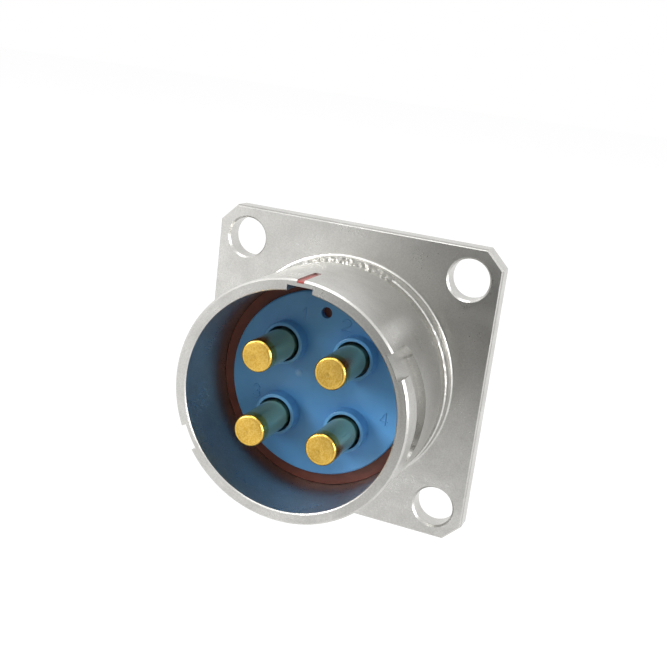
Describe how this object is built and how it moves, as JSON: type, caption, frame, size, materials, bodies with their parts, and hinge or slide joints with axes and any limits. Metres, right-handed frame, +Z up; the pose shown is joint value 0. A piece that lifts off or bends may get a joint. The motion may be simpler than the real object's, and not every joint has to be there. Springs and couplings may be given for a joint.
{
  "type": "aviation plug connector",
  "caption": "Square-flange panel receptacle with a reverse-bayonet barrel, keyway, blue insulator and gold pin contacts, threaded rear barrel and solder cups.",
  "frame": {"origin": "on the connector's axis, in the flange's rear face that lies against the panel, at the centre of the four screw holes", "axes": "+Y along the axis to the rear (cable side), -Y the mating direction, +Z up through the keyway and index mark, +X to the right seen from the mating side"},
  "size_m": [0.034, 0.0315, 0.034],
  "materials": {
    "shell": "satin nickel plate on a zinc casting",
    "seal": "matt silicone rubber",
    "insulator": "moulded, semi-matt",
    "rear_insulator": "moulded, semi-matt",
    "contact": "turned and gold plated",
    "clip": "rolled strip, bare",
    "washer": "stamped and nickel plated",
    "ring": "turned and nickel plated"
  },
  "bodies": {
    "root": {"shell": "shell", "face_seal": "seal", "front_insulator": "insulator", "rear_insulator": "rear_insulator", "contact_pin_1": "contact", "contact_pin_2": "contact", "contact_pin_3": "contact", "contact_pin_4": "contact", "contact_clip_1": "clip", "contact_clip_2": "clip", "contact_clip_3": "clip", "contact_clip_4": "clip", "thrust_washer": "washer", "lock_ring": "ring"}
  },
  "joints": []
}
